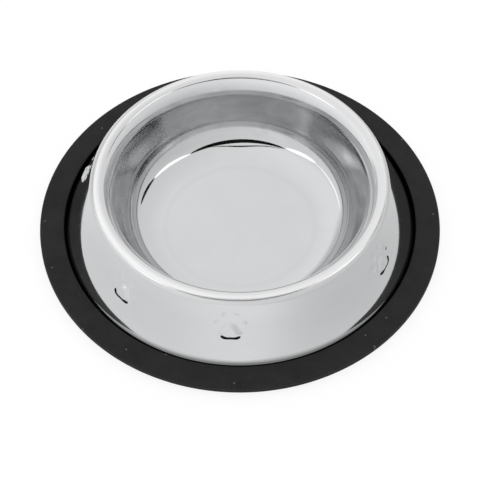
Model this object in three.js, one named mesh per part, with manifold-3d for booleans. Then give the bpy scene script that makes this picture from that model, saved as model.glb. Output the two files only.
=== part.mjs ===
// Non-skid cat bowl: a pressed, mirror-polished steel bowl whose foot is held in a rubber base ring.
// Millimetres, +Z up. The origin is on the table, under the centre of the bowl.

import * as THREE from 'three';
import { mergeVertices } from 'three/addons/utils/BufferGeometryUtils.js';
import Module from 'manifold-3d';

// Steel sheet
const sheetThickness = 0.5;

// Rim: a rounded bead, a little fuller outside, that carries on into a softer shoulder on the dish side
const rimHeight = 30.7;
const rimCrestRadius = 55.4;
const rimBeadRadius = 3;
const rimOuterRadius = 3.7;
const rimShoulderRadius = 15.2;
const rimShoulderAngle = 47.5;

// Dish: a steep wall that runs through a wide fillet into a flat floor
const dishWallAngle = 74.8;
const dishFilletRadius = 16.2;
const dishFloorHeight = 1.4;

// Skirt: a slightly hollow outer slope, which sweeps out into a flat flange at its foot
const skirtTopAngle = 70;
const skirtHollowRadius = 198;
const footFilletRadius = 6.6;
const flangeWidth = 1.6;

// Paw prints embossed in the skirt: height of their centres, and each one's azimuth and turn
const pawCentreHeight = 19.8;
const pawPrints = [
  { azimuth: 166.5, turn: 4 },
  { azimuth: 225, turn: -5 },
  { azimuth: 266.6, turn: 1 },
  { azimuth: 330.2, turn: 9 },
  { azimuth: 46, turn: -5 },
  { azimuth: 107, turn: 6 },
];
const heelPad = { halfWidth: 4.1, halfLength: 3.6, rise: 1, lobes: 0.16, sides: 12, rings: 6 };
const heelUp = -2.6;
const outerToeSpread = 5.2;
const outerToeUp = 0.7;
const innerToeSpread = 2.3;
const innerToeUp = 4.4;
const toePad = { halfWidth: 1.35, halfLength: 1.85, rise: 0.35, lobes: 0, sides: 8, rings: 4 };

// Rubber base ring
const ringLowerLip = 1.6;
const ringLowerLipOverlap = 5.8;
const ringGrooveClearance = 0.3;
const ringWall = 3.6;
const ringLipHeight = 5.2;
const ringLipGap = 1.2;
const ringLipUndercut = 1;
const ringLipRounding = 0.5;
const ringEdgeHeight = 4.85;
const ringTopRounding = 1.05;
const ringBottomRounding = 2.4;

// Facets: steps of a full turn, and how far a chord may lie inside its arc
const roundSteps = 64;
const chordSag = 0.075;

const rad = THREE.MathUtils.degToRad;

// Places that follow from the sizes above, all on the polished face of the sheet
const beadCentre = new THREE.Vector2(rimCrestRadius, rimHeight - rimBeadRadius);
const shoulderReach = rimShoulderRadius - rimBeadRadius;
const shoulderCentre = new THREE.Vector2(
  beadCentre.x + shoulderReach * Math.sin(rad(rimShoulderAngle)),
  beadCentre.y - shoulderReach * Math.cos(rad(rimShoulderAngle)),
);
const wallTop = new THREE.Vector2(
  shoulderCentre.x - rimShoulderRadius * Math.sin(rad(dishWallAngle)),
  shoulderCentre.y + rimShoulderRadius * Math.cos(rad(dishWallAngle)),
);
const wallFootHeight = dishFloorHeight + dishFilletRadius * (1 - Math.cos(rad(dishWallAngle)));
const wallFootRadius = wallTop.x - (wallTop.y - wallFootHeight) / Math.tan(rad(dishWallAngle));
const dishFloorRadius = wallFootRadius - dishFilletRadius * Math.sin(rad(dishWallAngle));

const outerBeadCentre = new THREE.Vector2(rimCrestRadius, rimHeight - rimOuterRadius);
const hollowReach = rimOuterRadius + skirtHollowRadius;
const hollowCentre = new THREE.Vector2(
  outerBeadCentre.x + hollowReach * Math.sin(rad(skirtTopAngle)),
  outerBeadCentre.y + hollowReach * Math.cos(rad(skirtTopAngle)),
);
const flangeHeight = ringLowerLip + ringGrooveClearance + sheetThickness;
const footFilletHeight = flangeHeight + footFilletRadius;
const footReach = skirtHollowRadius - footFilletRadius;
const skirtFootAngle = THREE.MathUtils.radToDeg(Math.acos((hollowCentre.y - footFilletHeight) / footReach));
const footFilletCentre = new THREE.Vector2(
  hollowCentre.x - footReach * Math.sin(rad(skirtFootAngle)),
  footFilletHeight,
);
const flangeRadius = footFilletCentre.x + flangeWidth;
const ringRadius = flangeRadius + ringGrooveClearance + ringWall;

// Radius at which a circle of the section passes a height, on the side of the axis
function radiusAt(height, centre, radius) {
  return centre.x - Math.sqrt(radius * radius - (centre.y - height) * (centre.y - height));
}

// Points of an arc in the section, in steps that keep each chord close to it
function arc(centre, radius, fromDegrees, toDegrees) {
  const step = THREE.MathUtils.radToDeg(2 * Math.acos(1 - chordSag / radius));
  const steps = Math.ceil(Math.abs(toDegrees - fromDegrees) / step);
  return Array.from({ length: steps + 1 }, (_, i) => {
    const angle = rad(fromDegrees + ((toDegrees - fromDegrees) * i) / steps);
    return new THREE.Vector2(centre.x + radius * Math.cos(angle), centre.y + radius * Math.sin(angle));
  });
}

// Section of one face of the sheet, from the centre of the floor out to the edge of the flange.
// Depth is how far the face lies under the polished one.
function sheetFace(depth) {
  const filletCentre = new THREE.Vector2(dishFloorRadius, dishFloorHeight + dishFilletRadius);
  return [
    new THREE.Vector2(0, dishFloorHeight - depth),
    ...arc(filletCentre, dishFilletRadius + depth, -90, -90 + dishWallAngle),
    ...arc(shoulderCentre, rimShoulderRadius - depth, 90 + dishWallAngle, 90 + rimShoulderAngle),
    ...arc(beadCentre, rimBeadRadius - depth, 90 + rimShoulderAngle, 90).slice(1),
    ...arc(outerBeadCentre, rimOuterRadius - depth, 90, 90 - skirtTopAngle).slice(1),
    ...arc(hollowCentre, skirtHollowRadius + depth, 270 - skirtTopAngle, 270 - skirtFootAngle).slice(1),
    ...arc(footFilletCentre, footFilletRadius + depth, 270 - skirtFootAngle, 270).slice(1),
    new THREE.Vector2(flangeRadius, flangeHeight - depth),
  ];
}

// Section of the rubber ring, anticlockwise from the inner corner of its underside
function ringSection() {
  const grooveFloor = flangeHeight - sheetThickness - ringGrooveClearance;
  const grooveRoof = flangeHeight + ringGrooveClearance;
  const grooveEnd = flangeRadius + ringGrooveClearance;
  const lowerLipRadius = grooveEnd - ringLowerLipOverlap;
  const roofRadius = footFilletRadius - ringGrooveClearance;
  const lipTopRadius = radiusAt(ringLipHeight, footFilletCentre, footFilletRadius) + ringLipGap;
  const lipFootShare = (footFilletCentre.x - lipTopRadius - ringLipUndercut) / roofRadius;
  const lipFootAngle = THREE.MathUtils.radToDeg(Math.acos(lipFootShare));
  const bottomCorner = new THREE.Vector2(ringRadius - ringBottomRounding, ringBottomRounding);
  const topCorner = new THREE.Vector2(ringRadius - ringTopRounding, ringEdgeHeight - ringTopRounding);
  const lipCorner = new THREE.Vector2(lipTopRadius + ringLipRounding, ringLipHeight - ringLipRounding);
  return [
    new THREE.Vector2(lowerLipRadius, 0),
    ...arc(bottomCorner, ringBottomRounding, -90, 0),
    ...arc(topCorner, ringTopRounding, 0, 90),
    ...arc(lipCorner, ringLipRounding, 90, 180),
    ...arc(footFilletCentre, roofRadius, 180 + lipFootAngle, 270),
    new THREE.Vector2(grooveEnd, grooveRoof),
    new THREE.Vector2(grooveEnd, grooveFloor),
    new THREE.Vector2(lowerLipRadius, grooveFloor),
    new THREE.Vector2(lowerLipRadius, 0),
  ];
}

// Turns a section about the Z axis
function revolve(section) {
  return new THREE.LatheGeometry(section, roundSteps).rotateX(Math.PI / 2);
}

// One pad of a paw print, a low dome bent round the skirt.
// Depth is how far the dome's foot lies under the skirt's polished face.
function pawPad(pad, across, up, print, depth) {
  const dome = new THREE.SphereGeometry(1, pad.sides, pad.rings);
  const place = dome.getAttribute('position');
  const turn = rad(print.turn);
  const middle = Math.PI + Math.asin((hollowCentre.y - pawCentreHeight) / skirtHollowRadius);
  for (let i = 0; i < place.count; i += 1) {
    const [x, y, z] = [place.getX(i), place.getY(i), place.getZ(i)];
    const outline = 1 + pad.lobes * Math.cos(3 * Math.atan2(-z, x) + Math.PI / 2);
    const padAcross = across + x * outline * pad.halfWidth;
    const padUp = up - z * outline * pad.halfLength;
    const turnedAcross = padAcross * Math.cos(turn) - padUp * Math.sin(turn);
    const turnedUp = padAcross * Math.sin(turn) + padUp * Math.cos(turn);
    const slope = middle - turnedUp / skirtHollowRadius;
    const skirtRadius = hollowCentre.x + skirtHollowRadius * Math.cos(slope);
    const azimuth = rad(print.azimuth) + turnedAcross / skirtRadius;
    const fromHollow = skirtHollowRadius - y * pad.rise + depth;
    const reach = hollowCentre.x + fromHollow * Math.cos(slope);
    const height = hollowCentre.y + fromHollow * Math.sin(slope);
    place.setXYZ(i, reach * Math.cos(azimuth), reach * Math.sin(azimuth), height);
  }
  return dome;
}

// All the pads of one paw print
function pawPads(print, depth) {
  const toes = [
    [-outerToeSpread, outerToeUp],
    [-innerToeSpread, innerToeUp],
    [innerToeSpread, innerToeUp],
    [outerToeSpread, outerToeUp],
  ];
  return [
    pawPad(heelPad, 0, heelUp, print, depth),
    ...toes.map(([across, up]) => pawPad(toePad, across, up, print, depth)),
  ];
}

const wasm = await Module();
wasm.setup();

// A closed geometry as a manifold solid
function toSolid(geometry) {
  const bare = geometry.clone();
  bare.deleteAttribute('normal');
  bare.deleteAttribute('uv');
  const merged = mergeVertices(bare, 1e-5);
  const index = merged.getIndex().array;
  const triangles = [];
  for (let i = 0; i < index.length; i += 3) {
    const [a, b, c] = [index[i], index[i + 1], index[i + 2]];
    if (a !== b && b !== c && c !== a) triangles.push(a, b, c);
  }
  const vertProperties = new Float32Array(merged.getAttribute('position').array);
  const triVerts = new Uint32Array(triangles);
  return new wasm.Manifold(new wasm.Mesh({ numProp: 3, vertProperties, triVerts }));
}

// A manifold solid as a geometry
function toGeometry(solid) {
  const mesh = solid.getMesh();
  const geometry = new THREE.BufferGeometry();
  geometry.setAttribute('position', new THREE.BufferAttribute(mesh.vertProperties, 3));
  geometry.setIndex(new THREE.BufferAttribute(mesh.triVerts, 1));
  geometry.computeVertexNormals();
  return geometry;
}

// Pressed bowl: one sheet revolved about the axis, with the paw prints pushed out from its back
function bowlShellGeometry() {
  let shell = toSolid(revolve([...sheetFace(sheetThickness), ...sheetFace(0).reverse()]));
  for (const print of pawPrints) {
    for (const pad of pawPads(print, 0)) shell = shell.add(toSolid(pad));
    for (const pad of pawPads(print, sheetThickness)) shell = shell.subtract(toSolid(pad));
  }
  return toGeometry(shell);
}

function namedMesh(name, geometry, material) {
  const mesh = new THREE.Mesh(geometry, material);
  mesh.name = name;
  return mesh;
}

const polishedSteel = new THREE.MeshStandardMaterial({ color: 0xd4d5d6, roughness: 0.06, metalness: 1 });
const blackRubber = new THREE.MeshStandardMaterial({ color: 0x2b2b2c, roughness: 0.75, metalness: 0 });

const bowl = new THREE.Group();
bowl.add(namedMesh('bowl_shell', bowlShellGeometry(), polishedSteel));
bowl.add(namedMesh('rubber_base_ring', revolve(ringSection()), blackRubber));

export default bowl;
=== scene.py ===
import math

import bmesh
import bpy
from mathutils import Matrix, Vector


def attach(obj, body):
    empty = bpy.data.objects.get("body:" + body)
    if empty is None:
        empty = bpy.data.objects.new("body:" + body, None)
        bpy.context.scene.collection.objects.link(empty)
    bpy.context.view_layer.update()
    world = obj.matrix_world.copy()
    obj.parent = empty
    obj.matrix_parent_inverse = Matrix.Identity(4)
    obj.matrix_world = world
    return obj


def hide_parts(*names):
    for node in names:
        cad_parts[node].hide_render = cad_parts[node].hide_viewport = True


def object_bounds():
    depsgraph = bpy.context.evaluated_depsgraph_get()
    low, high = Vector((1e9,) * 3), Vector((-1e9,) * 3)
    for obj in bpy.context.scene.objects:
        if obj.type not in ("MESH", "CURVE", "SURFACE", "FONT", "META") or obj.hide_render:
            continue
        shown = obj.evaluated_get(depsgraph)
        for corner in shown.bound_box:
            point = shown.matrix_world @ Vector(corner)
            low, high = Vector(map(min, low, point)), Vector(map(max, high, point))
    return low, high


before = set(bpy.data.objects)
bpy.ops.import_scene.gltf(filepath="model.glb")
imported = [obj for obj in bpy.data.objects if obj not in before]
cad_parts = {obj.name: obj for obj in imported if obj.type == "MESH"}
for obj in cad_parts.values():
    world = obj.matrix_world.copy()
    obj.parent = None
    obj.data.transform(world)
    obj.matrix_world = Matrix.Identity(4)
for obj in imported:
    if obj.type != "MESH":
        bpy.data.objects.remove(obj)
cad_low, cad_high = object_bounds()

MM = 0.001

# Steel sheet, from the floor of the dish to the flange that the ring holds
SHEET = 0.5
RIM_HEIGHT = cad_high.z / MM
RIM_CREST_RADIUS = 55.4
RIM_BEAD_RADIUS = 3
RIM_OUTER_RADIUS = 3.7
RIM_SHOULDER_RADIUS = 15.2
RIM_SHOULDER_ANGLE = math.radians(47.5)
DISH_WALL_ANGLE = math.radians(74.8)
DISH_FILLET_RADIUS = 16.2
DISH_FLOOR_HEIGHT = 1.4
SKIRT_TOP_ANGLE = math.radians(70)
SKIRT_HOLLOW_RADIUS = 198
FOOT_FILLET_RADIUS = 6.6
FLANGE_WIDTH = 1.6

# Steel's colour by radius: floor, corner, wall, shoulder, bead and skirt each have their own brightness;
# the brighter shoulder and bead are a painted highlight, the darker wall is painted shade
REFLECTANCE_AND_PAINTED_LIGHT = (
    (0, "#D8D9DA"),
    (40, "#D8D9DA"),
    (42.5, "#CBCCCD"),
    (51, "#CBCCCD"),
    (52.7, "#E0E1E2"),
    (54.8, "#E2E2E3"),
    (56.2, "#F2F2F3"),
    (56.9, "#F8F8F9"),
    (57.8, "#D6D7D8"),
    (62, "#D1D2D3"),
    (80, "#D1D2D3"),
)

# Haze of the buffing: height of a curl, and the radii between which it comes in and goes again
HAZE_HEIGHT = 8
HAZE_START = (42, 45.5)
HAZE_END = (49.5, 52.5)

# Waves of the press, the ring that the bottom punch leaves on the floor, and the bead's satin outer side
WAVE_LENGTH = 16
WAVE_DEPTH = 0.012
PUNCH_RING_RADIUS = 30
PUNCH_RING_HALF_WIDTH = 1.2
SATIN_RADIUS = 57.6
SATIN_HALF_WIDTH = 1.2

# Painted shade at the skirt's foot, in the gap where the rubber's lip meets the steel: heights between
# which it fades
GAP_SHADE_START = 4.8
GAP_SHADE_END = 6.5

# Paw prints: height of their centres, the azimuth and turn of each in degrees, and half a print's size
PAW_CENTRE_HEIGHT = 19.8
PAW_PRINTS = ((166.5, 4), (225, -5), (266.6, 1), (330.2, 9), (46, -5), (107, 6))
PAW_REACH = 8

# Pads of a print: place across and up, half width and half length, rise, how three-lobed, and the edge's
# inner and outer end as shares of the half sizes
HEEL_PAD = dict(
    across=0, up=-2.6, half_width=4.1, half_length=3.6, rise=1, lobes=0.16, edge=(0.45, 1.08)
)
TOE_PADS = [
    dict(across=across, up=up, half_width=1.35, half_length=1.85, rise=0.2, lobes=0, edge=(0.1, 1.3))
    for across, up in ((-5.2, 0.7), (-2.3, 4.4), (2.3, 4.4), (5.2, 0.7))
]

# Rubber base ring
RING_RADIUS = cad_high.x / MM
RING_LOWER_LIP = 1.6
RING_LOWER_LIP_OVERLAP = 5.8
RING_GROOVE_CLEARANCE = 0.3
RING_LIP_HEIGHT = 5.2
RING_LIP_GAP = 1.2
RING_LIP_UNDERCUT = 1
RING_LIP_ROUNDING = 0.5
RING_EDGE_HEIGHT = 4.85
RING_TOP_ROUNDING = 1.05
RING_BOTTOM_ROUNDING = 2.4

# Rubber's finish: size of its mottling, of its grain, and spacing of the large and the fine dust
MOTTLING_SIZE = 8
GRAIN_SIZE = 1.2
DUST_SPACING = 17
FINE_DUST_SPACING = 4.5

# Mesh steps: of a full turn, of an arc in the section, of the skirt's slope, and of a cut at a print
TURN_STEPS = 256
ARC_STEP = math.radians(4)
SKIRT_ROWS = 26
PAW_CUTS = 3

# Camera of the photograph, with a 36 mm sensor across the picture
CAMERA_ELEVATION = math.radians(52.89)
CAMERA_DISTANCE = 853.5
CAMERA_TARGET = Vector((0, -6.19, 0))
CAMERA_LENS = 160
CAMERA_ROLL = math.radians(-0.26)

# Tent: height of its roof, and the crescents in it, in degrees: azimuth from the front and elevation of
# the two ends, how far the middle rises above them, and the thickness in the middle
TENT_HEIGHT = 700
DARK_GAPS = (
    ("lens_gap", (-53, 50), (63, 56), 4, 11.5),
    ("roof_gap", (-51, 53), (40, 62), 15, 4.5),
    ("side_gap", (97, 36), (120, 26), 0, 7),
)
LAMPS = (
    ("left_lamp", (-80, 33), (-51, 47), 0, 11),
    ("left_lamp_tail", (-125, 24), (-78, 34), 0, 2.5),
    ("right_lamp", (98, 37), (63, 56), 0, 9),
)

# Brightness of the paper, and the shade that the steel sees on it: at both sides, and on the right
PAPER_GLOW = 0.85
PAPER_SIDE_SHADE = 0.11
PAPER_RIGHT_SHADE = 0.17

# Shade that the steel sees in the tent: on the right, and low in the far left corner
TENT_RIGHT_SHADE = 0.18
TENT_CORNER_SHADE = 0.4
TENT_CORNER = (-0.57, 0.82, 0)

# Places on the section that follow from the sizes
bead_centre = Vector((RIM_CREST_RADIUS, 0, RIM_HEIGHT - RIM_BEAD_RADIUS))
outer_bead_centre = Vector((RIM_CREST_RADIUS, 0, RIM_HEIGHT - RIM_OUTER_RADIUS))
shoulder_reach = RIM_SHOULDER_RADIUS - RIM_BEAD_RADIUS
shoulder_centre = bead_centre + shoulder_reach * Vector(
    (math.sin(RIM_SHOULDER_ANGLE), 0, -math.cos(RIM_SHOULDER_ANGLE))
)
wall_lean = Vector((-math.sin(DISH_WALL_ANGLE), 0, math.cos(DISH_WALL_ANGLE)))
wall_top = shoulder_centre + RIM_SHOULDER_RADIUS * wall_lean
wall_foot_height = DISH_FLOOR_HEIGHT + DISH_FILLET_RADIUS * (1 - math.cos(DISH_WALL_ANGLE))
wall_foot_radius = wall_top.x - (wall_top.z - wall_foot_height) / math.tan(DISH_WALL_ANGLE)
floor_radius = wall_foot_radius - DISH_FILLET_RADIUS * math.sin(DISH_WALL_ANGLE)
fillet_centre = Vector((floor_radius, 0, DISH_FLOOR_HEIGHT + DISH_FILLET_RADIUS))
skirt_top_out = Vector((math.sin(SKIRT_TOP_ANGLE), 0, math.cos(SKIRT_TOP_ANGLE)))
hollow_centre = outer_bead_centre + (RIM_OUTER_RADIUS + SKIRT_HOLLOW_RADIUS) * skirt_top_out
flange_height = RING_LOWER_LIP + RING_GROOVE_CLEARANCE + SHEET
foot_height = flange_height + FOOT_FILLET_RADIUS
foot_reach = SKIRT_HOLLOW_RADIUS - FOOT_FILLET_RADIUS
skirt_foot_angle = math.acos((hollow_centre.z - foot_height) / foot_reach)
foot_centre = Vector((hollow_centre.x - foot_reach * math.sin(skirt_foot_angle), 0, foot_height))
flange_radius = foot_centre.x + FLANGE_WIDTH


class Section:
    """A section drawn with a pen in the plane of the axis, then turned about the axis."""

    def __init__(self, radius, height):
        self.mesh = bmesh.new()
        self.start(radius, height)

    def start(self, radius, height):
        self.pen = self.mesh.verts.new((radius, 0, height))

    def line(self, radius, height, steps=1):
        begin = self.pen.co.copy()
        end = Vector((radius, 0, height))
        for step in range(1, steps + 1):
            self.pen = bmesh.ops.extrude_vert_indiv(self.mesh, verts=[self.pen])["verts"][0]
            self.pen.co = begin.lerp(end, step / steps)

    def arc(self, centre, turn, steps=None):
        """Turns the pen about a centre, anticlockwise where the turn is positive."""
        arc = bmesh.ops.spin(
            self.mesh,
            geom=[self.pen],
            cent=centre,
            axis=(0, -1, 0),
            dvec=(0, 0, 0),
            angle=turn,
            steps=steps or math.ceil(abs(turn) / ARC_STEP),
            use_merge=False,
            use_normal_flip=False,
            use_duplicate=False,
        )
        self.pen = arc["geom_last"][0]

    def revolve(self):
        """The closed mesh that the section sweeps in a full turn, with its faces pointing outwards."""
        bmesh.ops.spin(
            self.mesh,
            geom=self.mesh.verts[:] + self.mesh.edges[:],
            cent=(0, 0, 0),
            axis=(0, 0, 1),
            dvec=(0, 0, 0),
            angle=math.tau,
            steps=TURN_STEPS,
            use_merge=True,
            use_normal_flip=False,
            use_duplicate=False,
        )
        bmesh.ops.remove_doubles(self.mesh, verts=self.mesh.verts[:], dist=1e-4)
        bmesh.ops.recalc_face_normals(self.mesh, faces=self.mesh.faces[:])
        return self.mesh


def draw_sheet_face(section, depth):
    """One face of the sheet, from the middle of the floor to the edge of the flange."""
    section.line(floor_radius, DISH_FLOOR_HEIGHT - depth, steps=4)
    section.arc(fillet_centre, DISH_WALL_ANGLE)
    shoulder_foot = shoulder_centre + (RIM_SHOULDER_RADIUS - depth) * wall_lean
    section.line(shoulder_foot.x, shoulder_foot.z, steps=3)
    section.arc(shoulder_centre, RIM_SHOULDER_ANGLE - DISH_WALL_ANGLE)
    section.arc(bead_centre, -RIM_SHOULDER_ANGLE)
    section.arc(outer_bead_centre, -SKIRT_TOP_ANGLE)
    section.arc(hollow_centre, SKIRT_TOP_ANGLE - skirt_foot_angle, steps=SKIRT_ROWS)
    section.arc(foot_centre, skirt_foot_angle)
    section.line(flange_radius, flange_height - depth, steps=2)


def pad_lift(pad, across, up):
    """How far a pad lifts the sheet at a place on the print: a low dome with a soft edge."""
    x = (across - pad["across"]) / pad["half_width"]
    y = (up - pad["up"]) / pad["half_length"]
    lobed = 1 + pad["lobes"] * math.cos(3 * math.atan2(y, x) + math.pi / 2)
    inner, outer = pad["edge"]
    share = min(1, max(0, (outer - math.hypot(x, y) / lobed) / (outer - inner)))
    return pad["rise"] * share * share * (3 - 2 * share)


def emboss_paw_print(mesh, azimuth, turn):
    """Pushes one paw print out of the skirt, through both faces of the sheet."""
    middle = math.radians(azimuth)
    turn = math.radians(turn)
    middle_slope = math.asin((hollow_centre.z - PAW_CENTRE_HEIGHT) / SKIRT_HOLLOW_RADIUS)

    def from_hollow(place):
        """A place's depth behind the skirt's polished face and the slope's angle there."""
        inward = hollow_centre.x - math.hypot(place.x, place.y)
        down = hollow_centre.z - place.z
        return math.hypot(inward, down) - SKIRT_HOLLOW_RADIUS, math.atan2(down, inward)

    def on_print(place):
        """A place's distance across and up the skirt from the middle of the print."""
        swing = (math.atan2(place.y, place.x) - middle + math.pi) % math.tau - math.pi
        rise = SKIRT_HOLLOW_RADIUS * (middle_slope - from_hollow(place)[1])
        return Vector((swing * math.hypot(place.x, place.y), rise))

    def on_skirt(place):
        depth = from_hollow(place)[0]
        return -0.5 * SHEET < depth < 1.5 * SHEET and max(map(abs, on_print(place))) < PAW_REACH

    edges = [e for e in mesh.edges if all(on_skirt(v.co) for v in e.verts)]
    bmesh.ops.subdivide_edges(mesh, edges=edges, cuts=PAW_CUTS, use_grid_fill=True)
    for vert in [v for v in mesh.verts if on_skirt(v.co)]:
        depth, slope = from_hollow(vert.co)
        place = on_print(vert.co)
        across = place.x * math.cos(turn) + place.y * math.sin(turn)
        up = place.y * math.cos(turn) - place.x * math.sin(turn)
        lift = max(pad_lift(pad, across, up) for pad in (HEEL_PAD, *TOE_PADS))
        reach = SKIRT_HOLLOW_RADIUS + SHEET * round(depth / SHEET) - lift
        radius = hollow_centre.x - reach * math.cos(slope)
        heading = math.atan2(vert.co.y, vert.co.x)
        vert.co = (
            radius * math.cos(heading),
            radius * math.sin(heading),
            hollow_centre.z - reach * math.sin(slope),
        )


def bowl_mesh():
    """The pressed steel bowl: dish, rim, skirt and flange in one sheet."""
    section = Section(0, DISH_FLOOR_HEIGHT)
    draw_sheet_face(section, 0)
    polished_end = section.pen
    section.start(0, DISH_FLOOR_HEIGHT - SHEET)
    draw_sheet_face(section, SHEET)
    section.mesh.edges.new((polished_end, section.pen))
    mesh = section.revolve()
    for azimuth, turn in PAW_PRINTS:
        emboss_paw_print(mesh, azimuth, turn)
    return mesh


def ring_mesh():
    """The rubber ring, with the groove that grips the flange under the foot's fillet."""
    groove_end = flange_radius + RING_GROOVE_CLEARANCE
    groove_roof = flange_height + RING_GROOVE_CLEARANCE
    lower_lip_radius = groove_end - RING_LOWER_LIP_OVERLAP
    roof_radius = FOOT_FILLET_RADIUS - RING_GROOVE_CLEARANCE
    skirt_reach = math.sqrt(FOOT_FILLET_RADIUS**2 - (foot_centre.z - RING_LIP_HEIGHT) ** 2)
    lip_top_radius = foot_centre.x - skirt_reach + RING_LIP_GAP
    lip_foot_angle = math.acos((foot_centre.x - lip_top_radius - RING_LIP_UNDERCUT) / roof_radius)
    section = Section(lower_lip_radius, 0)
    first = section.pen
    section.line(RING_RADIUS - RING_BOTTOM_ROUNDING, 0, steps=2)
    section.arc(Vector((RING_RADIUS - RING_BOTTOM_ROUNDING, 0, RING_BOTTOM_ROUNDING)), math.pi / 2)
    section.line(RING_RADIUS, RING_EDGE_HEIGHT - RING_TOP_ROUNDING)
    top_corner = Vector((RING_RADIUS - RING_TOP_ROUNDING, 0, RING_EDGE_HEIGHT - RING_TOP_ROUNDING))
    section.arc(top_corner, math.pi / 2)
    section.line(lip_top_radius + RING_LIP_ROUNDING, RING_LIP_HEIGHT, steps=4)
    lip_corner = Vector((lip_top_radius + RING_LIP_ROUNDING, 0, RING_LIP_HEIGHT - RING_LIP_ROUNDING))
    section.arc(lip_corner, math.pi / 2)
    lip_foot_heading = Vector((math.cos(lip_foot_angle), 0, math.sin(lip_foot_angle)))
    lip_foot = foot_centre - roof_radius * lip_foot_heading
    section.line(lip_foot.x, lip_foot.z, steps=2)
    section.arc(foot_centre, math.pi / 2 - lip_foot_angle)
    section.line(groove_end, groove_roof)
    section.line(groove_end, RING_LOWER_LIP)
    section.line(lower_lip_radius, RING_LOWER_LIP)
    section.mesh.edges.new((section.pen, first))
    return section.revolve()


def add_piece(mesh, name, node, material):
    """Makes a mesh drawn in millimetres the piece that stands for a CAD node."""
    bmesh.ops.scale(mesh, vec=(MM, MM, MM), verts=mesh.verts[:])
    for face in mesh.faces:
        face.smooth = True
    data = bpy.data.meshes.new(name)
    mesh.to_mesh(data)
    mesh.free()
    data.materials.append(material)
    piece = bpy.data.objects.new(name, data)
    bpy.context.scene.collection.objects.link(piece)
    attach(piece, "root")
    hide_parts(node)


def linear(hex_colour):
    """An sRGB hex colour as linear red, green, blue and full alpha."""
    parts = [int(hex_colour[i : i + 2], 16) / 255 for i in (1, 3, 5)]
    return [c / 12.92 if c <= 0.04045 else ((c + 0.055) / 1.055) ** 2.4 for c in parts] + [1]


# Node settings that are used more than once
SMOOTH = {"interpolation_type": "SMOOTHSTEP"}
MULTIPLY = {"operation": "MULTIPLY"}
MULTIPLY_ADD = {"operation": "MULTIPLY_ADD"}
SUBTRACT = {"operation": "SUBTRACT"}
MAXIMUM = {"operation": "MAXIMUM"}
COMPARE = {"operation": "COMPARE"}
SCALE = {"operation": "SCALE"}
COLOURS = {"data_type": "RGBA"}
FLAT_CELLS = {"voronoi_dimensions": "2D"}


def add_node(tree, kind, settings=None, **links):
    """Adds a node with its settings, and sets or links its inputs: by the editor's name, with _ for a
    space, or by number, as in0."""
    node = tree.nodes.new(kind)
    for name, value in (settings or {}).items():
        setattr(node, name, value)
    for name, value in links.items():
        socket = node.inputs[int(name[2:])] if name.startswith("in") and name[2:].isdigit() else None
        socket = socket or node.inputs[name.replace("_", " ")]
        if isinstance(value, bpy.types.NodeSocket):
            tree.links.new(value, socket)
        else:
            socket.default_value = value
    return node


def new_material(name):
    """An empty material and the Object coordinates that its patterns read."""
    material = bpy.data.materials.new(name)
    material.use_nodes = True
    tree = material.node_tree
    tree.nodes.clear()
    place = add_node(tree, "ShaderNodeTexCoord").outputs["Object"]
    return material, tree, place


def set_surface(tree, shader):
    output = add_node(tree, "ShaderNodeOutputMaterial")
    tree.links.new(shader, output.inputs["Surface"])


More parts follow.
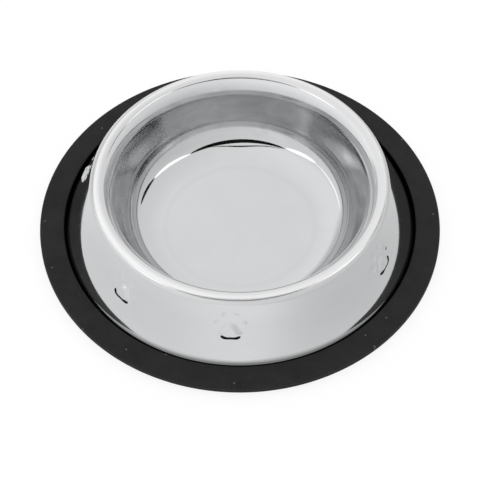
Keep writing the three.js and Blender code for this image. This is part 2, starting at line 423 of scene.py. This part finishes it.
def polished_steel():
    """Stainless steel, deep drawn, then buffed to a mirror.
    The eye sees the white tent in grey, brightest along the rim, where a highlight is painted into the
    colour, with painted shade on the dish's wall, hazy curls round the wall, a faint turned ring on its
    floor and slow waves from the press."""
    material, tree, place = new_material("buffed_stainless_steel")
    axes = add_node(tree, "ShaderNodeSeparateXYZ", Vector=place).outputs
    flat = add_node(tree, "ShaderNodeCombineXYZ", X=axes["X"], Y=axes["Y"]).outputs[0]
    radius = add_node(tree, "ShaderNodeVectorMath", {"operation": "LENGTH"}, in0=flat).outputs["Value"]

    # Haze in curls drawn out round the dish, faint on the floor and strong on the wall
    drawn_out = add_node(tree, "ShaderNodeMapping", Vector=place, Scale=(0.45, 0.45, 1))
    haze = add_node(
        tree,
        "ShaderNodeTexNoise",
        Vector=drawn_out.outputs[0],
        Scale=1 / (HAZE_HEIGHT * MM),
        Detail=3.0,
        Roughness=0.6,
        Distortion=0.9,
    ).outputs["Fac"]
    past_floor = add_node(
        tree,
        "ShaderNodeMapRange",
        SMOOTH,
        Value=radius,
        From_Min=HAZE_START[0] * MM,
        From_Max=HAZE_START[1] * MM,
    ).outputs["Result"]
    below_shoulder = add_node(
        tree,
        "ShaderNodeMapRange",
        SMOOTH,
        Value=radius,
        From_Min=HAZE_END[1] * MM,
        From_Max=HAZE_END[0] * MM,
    ).outputs["Result"]
    on_wall = add_node(tree, "ShaderNodeMath", MULTIPLY, in0=past_floor, in1=below_shoulder).outputs[0]
    depth = add_node(tree, "ShaderNodeMapRange", Value=on_wall, To_Min=0.07, To_Max=0.65)
    curls = add_node(tree, "ShaderNodeMath", SUBTRACT, in0=haze, in1=0.5).outputs[0]
    hazed = add_node(
        tree, "ShaderNodeMath", MULTIPLY_ADD, in0=curls, in1=depth.outputs["Result"], in2=1.0
    ).outputs[0]

    # The punch's ring is 2 per cent darker than the floor
    on_ring = add_node(
        tree,
        "ShaderNodeMath",
        COMPARE,
        in0=radius,
        in1=PUNCH_RING_RADIUS * MM,
        in2=PUNCH_RING_HALF_WIDTH * MM,
    ).outputs[0]
    ring_tone = add_node(tree, "ShaderNodeMath", MULTIPLY_ADD, in0=on_ring, in1=-0.02, in2=1.0).outputs[0]
    tone = add_node(tree, "ShaderNodeMath", MULTIPLY, in0=hazed, in1=ring_tone).outputs[0]

    # The ramp by radius paints a highlight on the shoulder and bead and paints shade on the wall
    reach = REFLECTANCE_AND_PAINTED_LIGHT[-1][0]
    share = add_node(tree, "ShaderNodeMath", {"operation": "DIVIDE"}, in0=radius, in1=reach * MM).outputs[0]
    reflectance_and_painted_light_ramp = add_node(tree, "ShaderNodeValToRGB", Fac=share)
    stops = reflectance_and_painted_light_ramp.color_ramp.elements
    for number, (zone_radius, zone_colour) in enumerate(REFLECTANCE_AND_PAINTED_LIGHT):
        stop = stops[number] if number < 2 else stops.new(1)
        stop.position = zone_radius / reach
        stop.color = linear(zone_colour)
    steel = add_node(
        tree, "ShaderNodeVectorMath", SCALE, in0=reflectance_and_painted_light_ramp.outputs["Color"], Scale=tone
    ).outputs["Vector"]

    # Painted shade where the rubber's lip lies against the foot, darkening the steel to 0.3 of its colour,
    # and none in the dish
    outside_gap_shade = add_node(
        tree,
        "ShaderNodeMapRange",
        SMOOTH,
        Value=axes["Z"],
        From_Min=GAP_SHADE_START * MM,
        From_Max=GAP_SHADE_END * MM,
        To_Min=0.3,
    ).outputs["Result"]
    inside_rim = add_node(
        tree, "ShaderNodeMath", {"operation": "LESS_THAN"}, in0=radius, in1=RIM_CREST_RADIUS * MM
    ).outputs[0]
    gap_shade_factor = add_node(tree, "ShaderNodeMath", MAXIMUM, in0=outside_gap_shade, in1=inside_rim).outputs[0]
    colour = add_node(tree, "ShaderNodeVectorMath", SCALE, in0=steel, Scale=gap_shade_factor).outputs["Vector"]

    waves = add_node(tree, "ShaderNodeTexNoise", Vector=place, Scale=1 / (WAVE_LENGTH * MM), Detail=1.0)
    wavy = add_node(
        tree, "ShaderNodeBump", Strength=1.0, Distance=WAVE_DEPTH * MM, Height=waves.outputs["Fac"]
    ).outputs["Normal"]

    # The haze roughens the mirror a little, more on the wall, and the wheel leaves the bead satin
    sheen = add_node(
        tree, "ShaderNodeMapRange", Value=haze, From_Min=0.3, From_Max=0.7, To_Min=0.04, To_Max=0.08
    ).outputs["Result"]
    dulled = add_node(tree, "ShaderNodeMath", MULTIPLY_ADD, in0=on_wall, in1=0.08, in2=sheen).outputs[0]
    on_bead = add_node(
        tree, "ShaderNodeMath", COMPARE, in0=radius, in1=SATIN_RADIUS * MM, in2=SATIN_HALF_WIDTH * MM
    ).outputs[0]
    roughness = add_node(
        tree, "ShaderNodeMath", MULTIPLY_ADD, in0=on_bead, in1=0.16, in2=dulled
    ).outputs[0]
    shader = add_node(
        tree,
        "ShaderNodeBsdfPrincipled",
        Base_Color=colour,
        Metallic=1.0,
        Roughness=roughness,
        Normal=wavy,
    )
    set_surface(tree, shader.outputs["BSDF"])
    return material


def base_rubber():
    """Black nitrile rubber, moulded with a dull skin.
    The eye sees a dark grey that is slightly uneven, with grey specks of dust lying on its top."""
    material, tree, place = new_material("moulded_black_rubber")
    mottling = add_node(
        tree, "ShaderNodeTexNoise", Vector=place, Scale=1 / (MOTTLING_SIZE * MM), Detail=4.0, Roughness=0.6
    ).outputs["Fac"]
    shade = add_node(
        tree, "ShaderNodeMapRange", Value=mottling, From_Min=0.3, From_Max=0.7
    ).outputs["Result"]
    skin = add_node(
        tree, "ShaderNodeMix", COLOURS, in0=shade, in6=linear("#1E1E1F"), in7=linear("#272728")
    ).outputs[2]

    # Single specks of 0.8 mm, larger than in truth so that they show, over finer dust
    cells = add_node(
        tree, "ShaderNodeTexVoronoi", FLAT_CELLS, Vector=place, Scale=1 / (DUST_SPACING * MM)
    ).outputs["Distance"]
    on_speck = add_node(
        tree, "ShaderNodeMapRange", Value=cells, From_Min=0.024, From_Max=0.014
    ).outputs["Result"]
    fine_cells = add_node(
        tree, "ShaderNodeTexVoronoi", FLAT_CELLS, Vector=place, Scale=1 / (FINE_DUST_SPACING * MM)
    ).outputs["Distance"]
    on_fine = add_node(
        tree, "ShaderNodeMapRange", Value=fine_cells, From_Min=0.07, From_Max=0.02, To_Max=0.16
    ).outputs["Result"]
    dusty = add_node(tree, "ShaderNodeMath", MAXIMUM, in0=on_speck, in1=on_fine).outputs[0]
    colour = add_node(
        tree, "ShaderNodeMix", COLOURS, in0=dusty, in6=skin, in7=linear("#636261")
    ).outputs[2]

    # The skin's own grain is too fine to show, so it is drawn coarser
    grain = add_node(tree, "ShaderNodeTexNoise", Vector=place, Scale=1 / (GRAIN_SIZE * MM), Detail=2.0)
    dull = add_node(
        tree, "ShaderNodeBump", Strength=0.5, Distance=0.02 * MM, Height=grain.outputs["Fac"]
    ).outputs["Normal"]
    shader = add_node(tree, "ShaderNodeBsdfPrincipled", Base_Color=colour, Roughness=0.75, Normal=dull)
    shader.inputs["Specular IOR Level"].default_value = 0.25
    set_surface(tree, shader.outputs["BSDF"])
    return material


def stage_sheet(name, width, depth, material, steps=1):
    """A flat sheet of the studio, centred at the origin and facing up."""
    data = bpy.data.meshes.new(name)
    mesh = bmesh.new()
    bmesh.ops.create_grid(mesh, x_segments=steps, y_segments=1, size=0.5)
    bmesh.ops.scale(mesh, vec=(width * MM, depth * MM, 1), verts=mesh.verts[:])
    mesh.to_mesh(data)
    mesh.free()
    data.materials.append(material)
    sheet = bpy.data.objects.new(name, data)
    bpy.context.scene.collection.objects.link(sheet)
    return sheet


def white_paper():
    """Seamless white paper. The lens sees it blank, with only the object's soft shadow. The mirror steel
    sees it dimmer to the sides, most on the right."""
    material, tree, place = new_material("white_paper")
    path = add_node(tree, "ShaderNodeLightPath").outputs
    mirrored = add_node(
        tree, "ShaderNodeMath", MAXIMUM, in0=path["Is Glossy Ray"], in1=path["Is Transmission Ray"]
    ).outputs[0]
    seen = add_node(tree, "ShaderNodeMath", MAXIMUM, in0=path["Is Camera Ray"], in1=mirrored).outputs[0]
    across = add_node(tree, "ShaderNodeSeparateXYZ", Vector=place).outputs["X"]
    off_middle = add_node(tree, "ShaderNodeMath", {"operation": "ABSOLUTE"}, in0=across).outputs[0]
    side_shade = add_node(
        tree,
        "ShaderNodeMapRange",
        SMOOTH,
        Value=off_middle,
        From_Min=30 * MM,
        From_Max=110 * MM,
        To_Max=PAPER_SIDE_SHADE,
    ).outputs["Result"]
    right_shade = add_node(
        tree,
        "ShaderNodeMapRange",
        SMOOTH,
        Value=across,
        From_Min=0,
        From_Max=140 * MM,
        To_Max=PAPER_RIGHT_SHADE,
    ).outputs["Result"]
    shade = add_node(
        tree, "ShaderNodeMath", {"operation": "ADD"}, in0=side_shade, in1=right_shade
    ).outputs[0]
    dimmed = add_node(tree, "ShaderNodeMath", MULTIPLY, in0=shade, in1=mirrored).outputs[0]
    strength = add_node(tree, "ShaderNodeMath", SUBTRACT, in0=PAPER_GLOW, in1=dimmed).outputs[0]
    pale = add_node(tree, "ShaderNodeBsdfDiffuse", Color=(0.17, 0.17, 0.17, 1))
    glow = add_node(tree, "ShaderNodeEmission", Color=(1, 1, 1, 1), Strength=strength)
    blank = add_node(tree, "ShaderNodeAddShader", in0=pale.outputs[0], in1=glow.outputs[0])
    paper = add_node(tree, "ShaderNodeBsdfDiffuse", Color=(0.4, 0.4, 0.4, 1))
    both = add_node(tree, "ShaderNodeMixShader", in0=seen, in1=paper.outputs[0], in2=blank.outputs[0])
    set_surface(tree, both.outputs[0])
    return material


def black_cloth():
    """Matt black cloth, as the front of the tent has round the lens."""
    material, tree, place = new_material("black_cloth")
    weave = add_node(tree, "ShaderNodeTexNoise", Vector=place, Scale=1 / (20 * MM), Detail=2.0)
    shade = add_node(
        tree,
        "ShaderNodeMix",
        COLOURS,
        in0=weave.outputs["Fac"],
        in6=linear("#141414"),
        in7=linear("#242424"),
    ).outputs[2]
    shader = add_node(tree, "ShaderNodeBsdfDiffuse", Color=shade)
    set_surface(tree, shader.outputs[0])
    return material


def lamp_cloth():
    """White diffuser cloth of a lamp, brighter than the tent, with the weave's slight unevenness."""
    material, tree, place = new_material("diffuser_cloth")
    weave = add_node(tree, "ShaderNodeTexNoise", Vector=place, Scale=1 / (40 * MM), Detail=2.0)
    strength = add_node(
        tree, "ShaderNodeMapRange", Value=weave.outputs["Fac"], To_Min=1.5, To_Max=1.9
    ).outputs["Result"]
    glow = add_node(tree, "ShaderNodeEmission", Color=(1, 1, 1, 1), Strength=strength)
    set_surface(tree, glow.outputs[0])
    return material


def white_tent():
    """The light tent: white all round. The steel sees it dimmer on the right and in the far left corner."""
    world = bpy.data.worlds.new("white_tent")
    bpy.context.scene.world = world
    world.use_nodes = True
    tree = world.node_tree
    tree.nodes.clear()
    direction = add_node(tree, "ShaderNodeTexCoord").outputs["Generated"]
    across = add_node(tree, "ShaderNodeSeparateXYZ", Vector=direction).outputs["X"]
    mirrored = add_node(tree, "ShaderNodeLightPath").outputs["Is Glossy Ray"]
    to_right = add_node(
        tree, "ShaderNodeMapRange", SMOOTH, Value=across, From_Min=-0.6, From_Max=0.9
    ).outputs["Result"]
    to_corner = add_node(
        tree, "ShaderNodeVectorMath", {"operation": "DOT_PRODUCT"}, in0=direction, in1=TENT_CORNER
    ).outputs["Value"]
    corner_shade = add_node(
        tree,
        "ShaderNodeMapRange",
        SMOOTH,
        Value=to_corner,
        From_Min=0.82,
        From_Max=0.96,
        To_Max=TENT_CORNER_SHADE,
    ).outputs["Result"]
    shade = add_node(
        tree, "ShaderNodeMath", MULTIPLY_ADD, in0=to_right, in1=TENT_RIGHT_SHADE, in2=corner_shade
    ).outputs[0]
    dimmed = add_node(tree, "ShaderNodeMath", MULTIPLY, in0=shade, in1=mirrored).outputs[0]
    strength = add_node(tree, "ShaderNodeMath", SUBTRACT, in0=1.0, in1=dimmed).outputs[0]
    background = add_node(tree, "ShaderNodeBackground", Color=(1, 1, 1, 1), Strength=strength)
    output = add_node(tree, "ShaderNodeOutputWorld")
    tree.links.new(background.outputs[0], output.inputs["Surface"])


def tent_crescent(name, material, begin, end, rise, thickness):
    """A crescent in the tent's roof, which only the mirror steel sees. Its ends are given as the azimuth
    and the elevation at which the bowl sees them. It starts as a 1 mm square, so that a corner's place
    says how far along and to which side of the crescent it belongs."""
    crescent = stage_sheet(name, 1, 1, material, steps=24)
    for vert in crescent.data.vertices:
        share = vert.co.x / MM + 0.5
        side = 2 * vert.co.y / MM
        swell = max(0, math.sin(math.pi * share))
        heading = math.radians(begin[0] + (end[0] - begin[0]) * share)
        middle = begin[1] + (end[1] - begin[1]) * share + rise * swell
        lift = math.radians(middle + 0.5 * side * thickness * math.sqrt(swell))
        reach = TENT_HEIGHT / math.tan(lift)
        vert.co = Vector((reach * math.sin(heading), -reach * math.cos(heading), TENT_HEIGHT)) * MM
    crescent.visible_camera = False
    crescent.visible_shadow = False


def photo_camera():
    """The camera, tilted down at the bowl from the front."""
    back = Vector((0, -math.cos(CAMERA_ELEVATION), math.sin(CAMERA_ELEVATION)))
    data = bpy.data.cameras.new("camera")
    data.lens = CAMERA_LENS
    data.sensor_width = 36
    camera = bpy.data.objects.new("camera", data)
    bpy.context.scene.collection.objects.link(camera)
    camera.location = (CAMERA_TARGET + CAMERA_DISTANCE * back) * MM
    turn = (-back).to_track_quat("-Z", "Y")
    camera.rotation_mode = "QUATERNION"
    camera.rotation_quaternion = turn @ Matrix.Rotation(CAMERA_ROLL, 3, "Z").to_quaternion()
    bpy.context.scene.camera = camera


add_piece(bowl_mesh(), "pressed_bowl", "bowl_shell", polished_steel())
add_piece(ring_mesh(), "base_ring", "rubber_base_ring", base_rubber())
stage_sheet("studio_floor", 8000, 8000, white_paper())
cloth = black_cloth()
for name, *crescent in DARK_GAPS:
    tent_crescent(name, cloth, *crescent)
diffuser = lamp_cloth()
for name, *crescent in LAMPS:
    tent_crescent(name, diffuser, *crescent)
white_tent()
photo_camera()
bpy.context.scene.cycles.max_bounces = 24
bpy.context.scene.cycles.glossy_bounces = 24
bpy.context.scene.view_settings.view_transform = "Standard"
